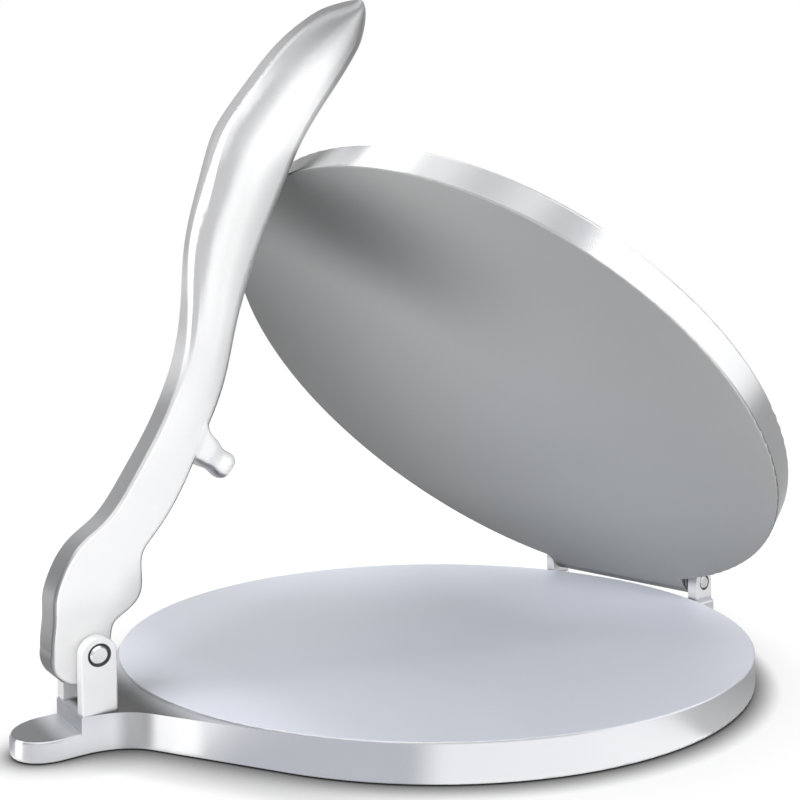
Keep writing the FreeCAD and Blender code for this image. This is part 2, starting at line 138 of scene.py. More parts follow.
class ShaderTree:
    """A node tree that is filled from Python expressions."""

    def __init__(self, owner: bpy.types.Material | bpy.types.World) -> None:
        """Empty the owner's node tree and keep it.

        Args:
            owner: Material or world whose nodes are written.
        """
        owner.use_nodes = True
        self.nodes = owner.node_tree.nodes
        self.links = owner.node_tree.links
        self.nodes.clear()

    def node(
        self,
        kind: str,
        settings: dict[str, Any] | None = None,
        inputs: dict[Any, Any] | None = None,
    ) -> bpy.types.Node:
        """Add a node of any kind.

        Args:
            kind: Blender's name of the node type.
            settings: Properties of the node, set first; "stops" and "easing" fill a colour ramp.
            inputs: Values or Socks by the name or number of the input socket.

        Returns:
            The new node.
        """
        made = self.nodes.new(kind)
        for name, value in (settings or {}).items():
            if name == "stops":
                self._fill_ramp(made, value)
            elif name == "easing":
                made.color_ramp.interpolation = value
            else:
                setattr(made, name, value)
        for key, value in (inputs or {}).items():
            target = made.inputs[key]
            if isinstance(value, Sock):
                self.links.new(value.socket, target)
            elif isinstance(value, tuple) and len(value) == 3 and target.type == "RGBA":
                target.default_value = (*value, 1.0)
            else:
                target.default_value = value
        return made

    def add(
        self,
        kind: str,
        settings: dict[str, Any] | None = None,
        inputs: dict[Any, Any] | None = None,
        output: Any = 0,
    ) -> Sock:
        """Add a node of any kind and return one of its outputs, by name or number."""
        return Sock(self, self.node(kind, settings, inputs).outputs[output])

    @staticmethod
    def _fill_ramp(made: bpy.types.Node, stops: Sequence[tuple[float, Colour]]) -> None:
        """Write the stops of a colour ramp.

        Args:
            made: The colour ramp node.
            stops: Pairs of position and colour, in rising order.
        """
        elements = made.color_ramp.elements
        while len(elements) < len(stops):
            elements.new(1.0)
        for element, (position, colour) in zip(elements, stops):
            element.position = position
            element.color = (*colour, 1.0)

    def ramp(self, factor: Sock, stops: Sequence[tuple[float, Colour]], easing: str) -> Sock:
        """Return the colour of a ramp at a position from 0 to 1."""
        settings = {"stops": stops, "easing": easing}
        return self.add("ShaderNodeValToRGB", settings, {0: factor})

    def mix(self, factor: Any, first: Any, second: Any) -> Sock:
        """Blend two colours: a factor of 0 gives the first, 1 the second."""
        settings = {"data_type": "RGBA", "blend_type": "MIX", "clamp_factor": True}
        return self.add("ShaderNodeMix", settings, {0: factor, 6: first, 7: second}, 2)

    def tint(self, colour: Any, amount: Any) -> Sock:
        """Return a colour multiplied by a number."""
        return self.add("ShaderNodeVectorMath", {"operation": "SCALE"}, {0: colour, 3: amount})

    def blend(self, factor: Any, first: Any, second: Any) -> Sock:
        """Blend two numbers: a factor of 0 gives the first, 1 the second."""
        settings = {"data_type": "FLOAT", "clamp_factor": True}
        return self.add("ShaderNodeMix", settings, {0: factor, 2: first, 3: second})

    def rays(self) -> tuple[Sock, Sock]:
        """Tell the kinds of rays apart.

        Returns:
            1 for rays straight from the camera, and 1 for rays that metal mirrors.
        """
        path = self.node("ShaderNodeLightPath")
        camera, through, mirrored = (
            Sock(self, path.outputs[name])
            for name in ("Is Camera Ray", "Is Transmission Ray", "Is Glossy Ray")
        )
        return camera.greatest(through), mirrored


class Place:
    """Where a shaded point lies on its own piece, before any pose."""

    def __init__(self, tree: ShaderTree, centre: Vector = Vector(), turn: float = 0.0) -> None:
        """Read the object coordinates, turned about an axis along Y.

        Args:
            tree: Tree that the nodes are added to.
            centre: Point that becomes the origin, in metres.
            turn: Angle in radians about +Y that is taken off again.
        """
        self.tree = tree
        source = tree.node("ShaderNodeTexCoord")
        self.point = self._turned(Sock(tree, source.outputs["Object"]), centre, turn)
        self.normal = self._turned(Sock(tree, source.outputs["Normal"]), Vector(), turn)
        self.x, self.y, self.z = self._parts(self.point)
        self.nx, self.ny, self.nz = self._parts(self.normal)

    def _turned(self, value: Sock, centre: Vector, turn: float) -> Sock:
        """Move the centre to the origin and take the turn off.

        Args:
            value: Position or normal.
            centre: Point that becomes the origin.
            turn: Angle in radians about +Y.

        Returns:
            The value in the piece's own frame.
        """
        inputs = {0: value, 1: tuple(centre)}
        moved = self.tree.add("ShaderNodeVectorMath", {"operation": "SUBTRACT"}, inputs)
        if turn == 0.0:
            return moved
        inputs = {0: moved, 2: (0.0, -turn, 0.0)}
        return self.tree.add("ShaderNodeMapping", {"vector_type": "POINT"}, inputs)

    def _parts(self, value: Sock) -> tuple[Sock, Sock, Sock]:
        """Split a vector into its three numbers."""
        split = self.tree.node("ShaderNodeSeparateXYZ", None, {0: value})
        return tuple(Sock(self.tree, split.outputs[i]) for i in range(3))

    def _noise(self, point: Sock, size: float, detail: float) -> Sock:
        """Return smooth noise from about 0 to 1, in patches of a size in metres."""
        inputs = {"Vector": point, "Scale": 1.0 / size, "Detail": detail}
        return self.tree.add("ShaderNodeTexNoise", {"noise_dimensions": "3D"}, inputs)

    def noise(self, size: float, detail: float, stretch: Axes, shift: float) -> Sock:
        """Return smooth noise over the piece, from about 0 to 1.

        Args:
            size: Size of a patch, in metres.
            detail: Number of finer layers.
            stretch: Growth of the patches along each axis.
            shift: Shift that makes another pattern.

        Returns:
            The noise value.
        """
        scale = tuple(1.0 / growth for growth in stretch)
        inputs = {0: self.point, 1: (shift, shift, shift), 3: scale}
        shaped = self.tree.add("ShaderNodeMapping", {"vector_type": "POINT"}, inputs)
        return self._noise(shaped, size, detail)

    def turning_marks(self, radius: Sock, pitch: float) -> Sock:
        """Return a lathe's marks, each a pitch wide, as noise about 0 along the radius."""
        line = self.tree.add("ShaderNodeCombineXYZ", None, {0: radius})
        return self._noise(line, pitch, detail=2.0) - 0.5


# ------------------------------------------------------------------- finishes


@dataclass
class Surface:
    """What a shader needs at one point: colour, roughness, metal share and height."""

    colour: Any
    roughness: Any
    metallic: Any
    height: Any


@dataclass(frozen=True)
class Grain:
    """Fine sparkle of a finish: size and relief in millimetres, change of tone."""

    size: float
    height: float
    tone: float


@dataclass(frozen=True)
class Cloud:
    """Slow change of tone over a finish: size of a patch in millimetres, change of tone."""

    size: float
    tone: float


@dataclass(frozen=True)
class Finish:
    """One finish of aluminium or steel."""

    colour: Colour
    roughness: float
    metallic: float
    grain: Grain
    cloud: Cloud
    stretch: Axes = (1.0, 1.0, 1.0)
    grain_detail: float = 3.0
    cloud_detail: float = 2.0
    cloud_shift: float = 0.37
    grain_roughness_share: float = 0.30
    cloud_roughness_share: float = 0.35

    def surface(self, place: Place) -> Surface:
        """Make the values of this finish over a piece.

        Args:
            place: Where the shaded point lies on its piece.

        Returns:
            The surface values.
        """
        even = (1.0, 1.0, 1.0)
        grain = place.noise(self.grain.size * MM, self.grain_detail, self.stretch, 0.0) - 0.5
        cloud = place.noise(self.cloud.size * MM, self.cloud_detail, even, self.cloud_shift) - 0.5
        tone = 1.0 + grain * self.grain.tone + cloud * self.cloud.tone
        cloud_roughness = cloud * (self.roughness * self.cloud_roughness_share)
        grain_roughness = grain * (self.roughness * self.grain_roughness_share)
        return Surface(
            colour=place.tree.tint(self.colour, tone),
            roughness=self.roughness + cloud_roughness + grain_roughness,
            metallic=self.metallic,
            height=grain * (self.grain.height * MM),
        )


class Metal(Enum):
    """The finishes of this press: colour, roughness, metal share, grain and cloud."""

    PRESS_FACE = Finish((0.615, 0.636, 0.700), 0.46, 0.12, Grain(0.7, 0.003, 0.03), Cloud(38, 0.05))
    BUFFED_WALL = Finish((0.79, 0.795, 0.82), 0.30, 1.0, Grain(0.45, 0.0022, 0.03), Cloud(24, 0.05))
    BUFFED_EAR = Finish((0.80, 0.80, 0.805), 0.36, 0.45, Grain(0.5, 0.003, 0.04), Cloud(7, 0.06))
    CAST_TOP = Finish((0.36, 0.37, 0.39), 0.42, 0.40, Grain(0.6, 0.012, 0.12), Cloud(6, 0.20))
    CAST_UNDER = Finish((0.46, 0.47, 0.48), 0.58, 0.75, Grain(0.9, 0.060, 0.22), Cloud(9, 0.18))
    # Painted shadow: near black round each pin, where the gap in its hole lies in shade
    HOLE_EDGE = Finish((0.09, 0.09, 0.095), 0.50, 0.60, Grain(0.4, 0.004, 0.10), Cloud(2, 0.20))
    # Painted shade: the same turned aluminium as the press face, darkened as it looks down into
    # shade
    PLATE_FACE = Finish((0.455, 0.462, 0.457), 0.48, 0.22, Grain(0.7, 0.003, 0.03), Cloud(45, 0.06))
    PLATE_RIM = Finish((0.80, 0.805, 0.81), 0.24, 1.0, Grain(0.45, 0.0022, 0.03), Cloud(22, 0.06))
    PLATE_BACK = Finish((0.66, 0.665, 0.67), 0.45, 0.85, Grain(0.9, 0.050, 0.18), Cloud(12, 0.14))
    # Painted shade: the barrel is darkened to read as shaded under the plate
    HINGE_BARREL = Finish((0.36, 0.365, 0.37), 0.45, 0.80, Grain(0.6, 0.010, 0.12), Cloud(6, 0.16))
    LEVER_GRIP = Finish(
        (0.82, 0.822, 0.825), 0.31, 1.0, Grain(0.6, 0.002, 0.03), Cloud(18, 0.04), (1.0, 1.0, 2.5)
    )
    # Satin side of the lever; also laid as painted highlights on the base's walls, the plate's rim
    # and the grip
    LEVER_SIDE = Finish((0.80, 0.80, 0.797), 0.38, 0.20, Grain(0.6, 0.002, 0.02), Cloud(14, 0.04))
    LEVER_EDGE = Finish((0.84, 0.84, 0.845), 0.31, 1.0, Grain(0.5, 0.0025, 0.03), Cloud(14, 0.06))
    # Painted reflection: dark band on the back of the grip
    LEVER_BACK = Finish((0.31, 0.31, 0.315), 0.50, 0.20, Grain(0.5, 0.004, 0.06), Cloud(14, 0.06))
    TURNED_STEEL = Finish((0.96, 0.96, 0.955), 0.24, 1.0, Grain(0.25, 0.003, 0.06), Cloud(3, 0.06))


# Both press faces are turned on the same lathe
TURNING_PITCH = 0.5 * MM
TURNING_TONE = 0.05


class Dressing:
    """Builds one material from layered surfaces and puts it on a node."""

    # Quarter turn from the lathe's marks to the highlights that they stretch
    highlight_turn = 0.25

    def __init__(self, name: str, centre: Vector = Vector(), turn: float = 0.0) -> None:
        """Start a material.

        Args:
            name: Name of the material.
            centre: Origin of the piece's own frame, in metres.
            turn: Angle about +Y by which the piece stands turned, in radians.
        """
        self.material = bpy.data.materials.new(name)
        self.tree = ShaderTree(self.material)
        self.place = Place(self.tree, centre, turn)
        self.top: Surface | None = None

    def lay(self, metal: Metal, mask: Sock | None = None) -> None:
        """Lay a finish over what is there.

        Args:
            metal: The finish.
            mask: Where it shows, 0 to 1; None covers everything.
        """
        new = metal.value.surface(self.place)
        if self.top is None or mask is None:
            self.top = new
            return
        old = self.top
        self.top = Surface(
            self.tree.mix(mask, old.colour, new.colour),
            self.tree.blend(mask, old.roughness, new.roughness),
            self.tree.blend(mask, old.metallic, new.metallic),
            self.tree.blend(mask, old.height, new.height),
        )

    def shade(self, amount: Sock) -> None:
        """Darken or lighten what is there by a factor."""
        self.top.colour = self.tree.tint(self.top.colour, amount)

    def dim(self, mask: Sock, share: float) -> None:
        """Take a share off the colour where the mask shows."""
        self.shade(1.0 - mask * share)

    def _shader(self, normal: Sock, anisotropic: float) -> Sock:
        """Make one shader from the top surface.

        Args:
            normal: Normal with the fine relief.
            anisotropic: Stretch of the highlights across the turning marks.

        Returns:
            The shader.
        """
        inputs = {
            "Base Color": self.top.colour,
            "Roughness": self.top.roughness,
            "Metallic": self.top.metallic,
            "Normal": normal,
            "Anisotropic": anisotropic,
            "Anisotropic Rotation": self.highlight_turn,
        }
        return self.tree.add("ShaderNodeBsdfPrincipled", None, inputs)

    def put_on(
        self, node: bpy.types.Object, anisotropic: float = 0.0, brushed: Sock | None = None
    ) -> None:
        """Finish the shader and fill every material slot of a node.

        Args:
            node: The CAD node.
            anisotropic: Stretch of the highlights across the turning marks.
            brushed: Where the marks show, 0 to 1; None means nowhere.
        """
        relief = {"Strength": 1.0, "Distance": 1.0, "Height": self.top.height}
        normal = self.tree.add("ShaderNodeBump", None, relief)
        whole = self._shader(normal, 0.0)
        if brushed is not None:
            turned = self._shader(normal, anisotropic)
            parts = {0: brushed, 1: whole, 2: turned}
            whole = self.tree.add("ShaderNodeMixShader", None, parts)
        self.tree.node("ShaderNodeOutputMaterial", None, {0: whole})
        if not node.material_slots:
            node.data.materials.append(self.material)
        for slot in node.material_slots:
            slot.material = self.material


# ----------------------------------------------------------------- the pieces


@dataclass
class BaseCasting:
    """Lower casting: round press plate, lever tongue with its ears, rear lugs.

    Positions are in the shared frame, with the tongue at the low end of X. A turn is measured by
    one part of the normal: 1 faces along the axis, -1 against it.
    """

    node: bpy.types.Object
    lever_pivot: Vector = field(default_factory=lambda: Vector(millimetres(-115, 0, 24)))
    hinge: Vector = field(default_factory=lambda: Vector(millimetres(100.2, 0, 15.4)))
    level_turn: Span = (0.75, 0.95)
    under_turn: Span = (-0.55, -0.85)
    wall_stretch: float = 0.7
    # Hollow under the plate, by radius and height
    hollow_edge: Span = millimetres(94.6, 94)
    hollow_top: Span = millimetres(9.8, 9.4)
    # Level tops of the tongue, by height, and painted shade and light on them along X
    tongue_top: Span = millimetres(12, 11)
    lug_end: Span = millimetres(-118.5, -116.5)
    lug_fade: Span = millimetres(-127.5, -121.5)
    lug_painted_shade_and_light: Span = (0.40, 1.40)
    neck_fade: Span = millimetres(-106, -95)
    neck_painted_shade_and_light: Span = (0.10, 1.40)
    # Painted shade on the walls in the hollow of the neck
    neck_walls: Band = millimetres(-113, -109, -106.5, -103.5)
    neck_wall_top: Span = millimetres(9.9, 9.4)
    neck_wall_painted_shade: float = 0.42
    # Ears, and painted shadow in the gap round each pin, by height and by distance from the pin's
    # axis
    ear_foot: Span = millimetres(9.6, 10.2)
    pin_gap_shadow_ring: Span = millimetres(2.98, 2.78)
    # Narrow painted highlights on the walls, by distance from the middle plane
    tip_glint: Band = millimetres(2.2, 2.9, 4.5, 5.2)
    tip_end: Span = millimetres(-128, -130)
    tip_top: Span = millimetres(6, 5.2)
    foot_glint: Band = millimetres(-106, -104, -99.5, -97)
    foot_side: Span = millimetres(12, 16)
    foot_share: float = 0.75
    # Press face, and painted light that lifts it where the upper plate and the lever shade it, most
    # towards the hinge
    face_radius: float = 100 * MM
    face_edge: Span = millimetres(99.8, 100.1)
    face_height: Span = millimetres(9.4, 9.9)
    rear_fade: Span = millimetres(-40, 60)
    rear_gain: float = 0.13
    hinge_fade: Span = millimetres(85, 20)
    hinge_gain: float = 0.43
    far_fade: Span = millimetres(10, 85)
    far_reach: Span = millimetres(-60, 40)
    far_gain: float = 0.30
    front_fade: Span = millimetres(-70, -92)
    front_gain: float = 0.14
    face_loss: float = 0.13

    def dress(self) -> None:
        """Lay the cast skin, buffed walls, ears and press face."""
        work = Dressing("cast_aluminium_base")
        place = work.place
        radius = place.x.distance(place.y)
        level = place.nz.ease(*self.level_turn)
        outside = radius.ease(*self.face_edge)
        hollow = radius.ease(*self.hollow_edge) * place.z.ease(*self.hollow_top)
        under = place.nz.ease(*self.under_turn).greatest(hollow)
        upright = 1.0 - level.greatest(under)
        work.lay(Metal.BUFFED_WALL)
        work.lay(Metal.CAST_UNDER, under)
        self._dress_tongue(work, level, outside)
        work.lay(Metal.BUFFED_EAR, place.z.ease(*self.ear_foot) * outside)
        self._add_glints(work, upright * outside)
        for pivot in (self.lever_pivot, self.hinge):
            from_pin = (place.x - pivot.x).distance(place.z - pivot.z)
            # Painted shadow in the gap round each pin
            work.lay(Metal.HOLE_EDGE, from_pin.ease(*self.pin_gap_shadow_ring))
        self._dress_face(work, radius, level * (1.0 - outside))
        work.put_on(self.node, self.wall_stretch, upright)

    def _dress_tongue(self, work: Dressing, level: Sock, outside: Sock) -> None:
        """Lay the level tops of the low lug and the neck with painted shade and light along X, and
        paint shade on the neck's walls.

        Args:
            work: Material that is being built.
            level: Where the metal faces up, 0 to 1.
            outside: Where the point lies outside the round plate, 0 to 1.
        """
        place = work.place
        tops = level * outside * place.z.ease(*self.tongue_top)
        work.lay(Metal.CAST_TOP, tops)
        # Painted shade and light on the tops: the lug darker towards its tip, the neck darker by
        # the ears, both lighter towards the plate
        lug = place.x.change(self.lug_fade, *self.lug_painted_shade_and_light)
        neck = place.x.change(self.neck_fade, *self.neck_painted_shade_and_light)
        tone = work.tree.blend(place.x.ease(*self.lug_end), lug, neck)
        work.shade(1.0 + tops * (tone - 1.0))
        # Painted shade on the walls in the neck's hollow
        walls = place.x.band(*self.neck_walls) * place.z.ease(*self.neck_wall_top)
        work.dim(walls * (1.0 - level) * outside, self.neck_wall_painted_shade)

    def _add_glints(self, work: Dressing, walls: Sock) -> None:
        """Lay a painted highlight at the tip of the low lug and one at each foot of the neck.

        Args:
            work: Material that is being built.
            walls: Where the walls outside the round plate are, 0 to 1.
        """
        place = work.place
        aside = place.y.size()
        tip = aside.band(*self.tip_glint) * place.x.ease(*self.tip_end)
        tip = tip * place.z.ease(*self.tip_top)
        foot = place.x.band(*self.foot_glint) * aside.ease(*self.foot_side) * self.foot_share
        # Painted highlights, laid in the lever's white satin finish
        work.lay(Metal.LEVER_SIDE, walls * tip.greatest(foot))

    def _dress_face(self, work: Dressing, radius: Sock, inner_level: Sock) -> None:
        """Lay the press face with faint turning marks and painted light on its shaded rear.

        Args:
            work: Material that is being built.
            radius: Distance from the middle of the face.
            inner_level: Where level metal lies inside the face's edge, 0 to 1.
        """
        place = work.place
        face = inner_level * place.z.ease(*self.face_height)
        work.lay(Metal.PRESS_FACE, face)
        marks = place.turning_marks(radius, TURNING_PITCH) * face
        from_hinge = (place.x - self.face_radius).distance(place.y)
        # Painted light, lifting the face where the upper plate and the lever shade it, a little
        # darker elsewhere
        painted_light = (
            place.x.ease(*self.rear_fade) * self.rear_gain
            + from_hinge.ease(*self.hinge_fade) * self.hinge_gain
            + place.y.ease(*self.far_fade) * place.x.ease(*self.far_reach) * self.far_gain
            + place.x.ease(*self.front_fade) * self.front_gain
            - self.face_loss
        )
        work.shade(1.0 + marks * TURNING_TONE + painted_light * face)


# Painted reflection bands on the plate's rim, as tones once round from the free edge, first along
# the -Y side
RIM_PAINTED_REFLECTIONS = (
    (0.000, 0.14),
    (0.012, 0.36),
    (0.022, 0.74),
    (0.034, 0.82),
    (0.048, 1.22),
    (0.066, 1.22),
    (0.084, 0.95),
    (0.108, 0.68),
    (0.140, 0.88),
    (0.158, 1.22),
    (0.185, 1.08),
    (0.236, 0.93),
    (0.262, 0.72),
    (0.320, 0.50),
    (0.380, 0.74),
    (0.500, 0.72),
    (0.600, 0.90),
    (0.900, 0.90),
    (1.000, 0.14),
)


@dataclass
class UpperPlate:
    """Upper casting: press plate with rim, ribbed back and hinge barrel.

    In the piece's own frame the plate lies closed, with the origin on the hinge's axis. Reach
    runs from the disc's middle towards the hinge; distance is the radius from that middle.
    """

    node: bpy.types.Object
    hinge: Vector = field(default_factory=lambda: Vector(millimetres(100.2, 0, 15.4)))
    open_turn: float = math.radians(42.908)
    hinge_to_middle: float = 103.7 * MM
    # The three skins, by height over the hinge's axis, by distance and from the barrel's axis
    face_height: Span = millimetres(-4.48, -4.68)
    back_edge: Span = millimetres(96.8, 96.3)
    back_height: Span = millimetres(-4.5, -4.2)
    barrel_skin: Span = millimetres(5.3, 4.9)
    # Slate streak that runs across the face from near the free edge
    streak_start: Span = millimetres(-95, 5)
    diagonal: float = 0.707
    streak_width: Span = millimetres(38, 2)
    streak_length: Span = millimetres(94, 8)
    streak_loss: float = 0.68
    # Painted shade towards the sides of the face, along Y and along the reach
    north_fade: Span = millimetres(-25, 110)
    north_loss: float = 0.62
    hinge_fade: Span = millimetres(45, 98)
    hinge_loss: float = 0.22
    free_fade: Span = millimetres(20, -90)
    free_loss: float = 0.14
    south_fade: Span = millimetres(-30, -95)
    south_loss: float = 0.13
    # Painted highlights on the rim, by azimuth
    glints: tuple[Band, Band] = ((0.150, 0.162, 0.180, 0.200), (0.040, 0.052, 0.064, 0.080))
    glint_share: float = 0.6

    def dress(self) -> None:
        """Lay the satin press face, polished rim, cast back and barrel."""
        work = Dressing("cast_aluminium_plate", self.hinge, self.open_turn)
        place = work.place
        reach = place.x + self.hinge_to_middle
        distance = reach.distance(place.y)
        face = place.z.ease(*self.face_height)
        inside = distance.ease(*self.back_edge)
        barrel = place.x.distance(place.z).ease(*self.barrel_skin)
        work.lay(Metal.PLATE_RIM)
        work.lay(Metal.PLATE_BACK, inside * place.z.ease(*self.back_height))
        # Plate's face, in its darkened copy of the press face's aluminium
        work.lay(Metal.PLATE_FACE, face)
        # Barrel darkened as painted shade
        work.lay(Metal.HINGE_BARREL, barrel * (1.0 - inside))
        marks = place.turning_marks(distance, TURNING_PITCH) * face
        tone = self._face_tone(place, reach, face)
        work.shade(tone * (1.0 + marks * TURNING_TONE))
        self._dress_rim(work, place.y.azimuth(reach), face.greatest(inside))
        work.put_on(self.node)

    def _face_tone(self, place: Place, reach: Sock, face: Sock) -> Sock:
        """Darken the press face along its streak, and with painted shade towards its sides.

        Args:
            place: Where the shaded point lies on the plate.
            reach: Place along the plate, from its middle towards the hinge.
            face: Where the press face is, 0 to 1.

        Returns:
            Factor for the colour.
        """
        start_reach, start_y = self.streak_start
        inward = (reach - start_reach) * self.diagonal
        sideways = (place.y - start_y) * self.diagonal
        across = (inward + sideways).size()
        along = inward - sideways
        streak = across.ease(*self.streak_width) * along.ease(*self.streak_length)
        # Painted shade towards the sides of the face
        sides = (
            place.y.ease(*self.north_fade) * self.north_loss
            + reach.ease(*self.hinge_fade) * self.hinge_loss
            + reach.ease(*self.free_fade) * self.free_loss
            + place.y.ease(*self.south_fade) * self.south_loss
        )
        return (1.0 - face * streak * self.streak_loss) * (1.0 - face * sides)

    def _dress_rim(self, work: Dressing, azimuth: Sock, elsewhere: Sock) -> None:
        """Give the rim its painted highlights and painted reflection bands.

        Args:
            work: Material that is being built.
            azimuth: Place round the disc, 0 to 1, from the free edge.
            elsewhere: Where the rim is not, 0 to 1.
        """
        # Painted highlights, laid in the lever's white satin finish
        first, second = (azimuth.band(*glint) for glint in self.glints)
        work.lay(Metal.LEVER_SIDE, (1.0 - elsewhere) * (first + second) * self.glint_share)
        # Painted reflection bands round the rim
        stops = [(position, (tone, tone, tone)) for position, tone in RIM_PAINTED_REFLECTIONS]
        tones = work.tree.ramp(azimuth, stops, "EASE")
        work.shade(work.tree.blend(elsewhere, tones, 1.0))


@dataclass
class PressLever:
    """Lever casting: cam hub, arm with its nub, rounded grip.

    In the piece's own frame X runs along the lever from its pin and Z towards its back.
    """

    node: bpy.types.Object
    pivot: Vector = field(default_factory=lambda: Vector(millimetres(-115, 0, 24)))
    lean: float = math.radians(65.4)
    # Square of the normal's sideways part, from a bevel to a satin side
    side_turn: Span = (0.72, 0.93)
    grip_start: Span = millimetres(61.5, 94.3)
    # Turns of the crowned grip where its painted reflection bands start: the white line, the dark
    # back and the white front
    line_swell: Span = millimetres(140, 98)
    line_turns: Span = (0.33, 0.61)
    line_dip: Span = millimetres(88, 75)
    line_dip_turn: float = 0.20
    line_end: Span = millimetres(172, 148)
    back_swell: Span = millimetres(150, 105)
    back_turns: Span = (0.55, 0.90)
    line_softness: float = 0.06
    front_swell: Span = millimetres(165, 70)
    front_turns: Span = (0.08, 0.33)
    front_end: Span = millimetres(178, 156)
    front_softness: float = 0.08
    front_painted_highlight: Span = (0.04, -0.14)
    front_gain: float = 0.17
    # Painted shade: on the far edge, the tip, the hub's back, between the ears, the cam
    far_turn: Span = (-0.36, -0.62)
    far_edge_painted_shade: float = 0.48
    tip_start: Span = millimetres(164, 194.75)
    tip_painted_shade: float = 0.46
    hub_turn: Span = (0.3, 0.6)
    hub_end: Span = millimetres(32, 4)
    hub_back_painted_shade: float = 0.48
    ear_shadow: Span = millimetres(17, 9)
    ear_painted_shadow: float = 0.10
    cam_side: Span = millimetres(3, -8)
    cam_end: Span = millimetres(27, 17)
    cam_painted_shadow: float = 0.36
    # Nub on the front of the arm, with painted light on it and painted shade beneath
    nub_root: Span = millimetres(-6.2, -7.6)
    nub_place: Band = millimetres(40, 44, 76, 80)
    nub_painted_light: float = 0.13
    nub_under_turn: Span = (-0.45, -0.75)
    nub_painted_shade: float = 0.60

    def dress(self) -> None:
        """Lay the satin arm, the polished grip and the nub."""
        work = Dressing("cast_aluminium_lever", self.pivot, -self.lean)
        place = work.place
        work.lay(Metal.LEVER_EDGE)
        work.lay(Metal.LEVER_SIDE, (place.ny * place.ny).ease(*self.side_turn))
        self._dress_grip(work)
        # Painted shade on the far edge, the tip and the hub's back, painted shadow between the ears
        # and on the cam
        work.dim(place.nz.ease(*self.far_turn), self.far_edge_painted_shade)
        work.dim(place.x.ease(*self.tip_start), self.tip_painted_shade)
        work.dim(place.nz.ease(*self.hub_turn) * place.x.ease(*self.hub_end), self.hub_back_painted_shade)
        work.dim(place.x.distance(place.z).ease(*self.ear_shadow), self.ear_painted_shadow)
        work.dim(place.z.ease(*self.cam_side) * place.x.ease(*self.cam_end), self.cam_painted_shadow)
        nub = place.z.ease(*self.nub_root) * place.x.band(*self.nub_place)
        below = place.nx.ease(*self.nub_under_turn)
        work.lay(Metal.LEVER_SIDE, nub * (1.0 - below))
        # Painted light on the nub and painted shade beneath it
        work.shade(1.0 + nub * (self.nub_painted_light - below * self.nub_painted_shade))
        work.put_on(self.node)

    def _dress_grip(self, work: Dressing) -> None:
        """Lay the grip: dark back, white line, grey crown and white front, the back, line and front
        as painted reflection bands.

        Args:
            work: Material that is being built.
        """
        x, nz = work.place.x, work.place.nz
        grip = x.ease(*self.grip_start)
        work.lay(Metal.LEVER_GRIP, grip)
        line_turn = x.change(self.line_swell, *self.line_turns)
        line_turn = line_turn - x.ease(*self.line_dip) * self.line_dip_turn
        back_turn = x.change(self.back_swell, *self.back_turns)
        front_turn = x.change(self.front_swell, *self.front_turns)
        soft = self.line_softness
        line = (nz - line_turn).ease(-soft, soft) * x.ease(*self.line_end)
        back = (nz - back_turn).ease(-soft, soft)
        soft = self.front_softness
        front = (nz - front_turn).ease(soft, -soft) * x.ease(*self.front_end)
        # Painted reflection bands: white line and white front, then the dark back
        work.lay(Metal.LEVER_SIDE, grip * line.greatest(front))
        work.lay(Metal.LEVER_BACK, grip * back)
        # Painted highlight on the grip's front
        work.shade(1.0 + grip * nz.ease(*self.front_painted_highlight) * self.front_gain)


@dataclass
class Pins:
    """The two turned pins."""

    nodes: Sequence[bpy.types.Object]

    def dress(self) -> None:
        """Lay turned steel on both pins."""
        for node in self.nodes:
            work = Dressing("pin_steel_" + node.name)
            work.lay(Metal.TURNED_STEEL)
            work.put_on(node)


# ---------------------------------------------------------------- the studio


@dataclass(frozen=True)
class Softbox:
    """One soft lamp that looks at the press.

    Azimuth 0 stands on the -Y side, 90 on the +X side; angles in degrees, lengths in metres.
    A lamp that isn't mirrored lights the castings and doesn't show in them.
    """

    name: str
    azimuth: float
    elevation: float
    distance: float
    width: float
    height: float
    radiance: float
    mirrored: bool = True

    def hang(self, aim: Vector) -> None:
        """Add the lamp.

        Args:
            aim: Point that the lamp looks at.
        """
        turn = math.radians(self.azimuth)
        rise = math.radians(self.elevation)
        level = math.cos(rise)
        way = Vector((math.sin(turn) * level, -math.cos(turn) * level, math.sin(rise)))
        data = bpy.data.lights.new(self.name, "AREA")
        data.shape = "RECTANGLE"
        data.size = self.width
        data.size_y = self.height
        data.energy = self.radiance * math.pi * self.width * self.height
        lamp = bpy.data.objects.new(self.name, data)
        lamp.location = aim + way * self.distance
        lamp.rotation_euler = way.to_track_quat("Z", "Y").to_euler()
        lamp.visible_glossy = self.mirrored
        bpy.context.scene.collection.objects.link(lamp)


@dataclass(frozen=True)
class PhotoCamera:
    """The camera that was fitted to the photograph, in the shared frame.

    Lens and sensor are millimetres, the other lengths metres; the three axes are the picture's.
    """

    lens: float = 40.425
    sensor: float = 36.0
    nearest: float = 0.01
    farthest: float = 50.0
    spot: Axes = (-0.191801, -0.228812, 0.089348)
    right: Axes = (0.78725357, -0.61650823, -0.01222373)
    upward: Axes = (0.01933767, 0.00486992, 0.99980115)
    backward: Axes = (-0.61632611, -0.7873334, 0.01575569)

    def stand(self) -> None:
        """Stand the camera where the photograph was taken from."""
        data = bpy.data.cameras.new("photo_camera")
        data.sensor_width = self.sensor
        data.lens = self.lens
        data.clip_start = self.nearest
        data.clip_end = self.farthest
        camera = bpy.data.objects.new("photo_camera", data)
        axes = (Vector(self.right), Vector(self.upward), Vector(self.backward))
        turn = Matrix(axes).transposed().to_4x4()
        camera.matrix_world = Matrix.Translation(Vector(self.spot)) @ turn
        bpy.context.scene.collection.objects.link(camera)
        bpy.context.scene.camera = camera


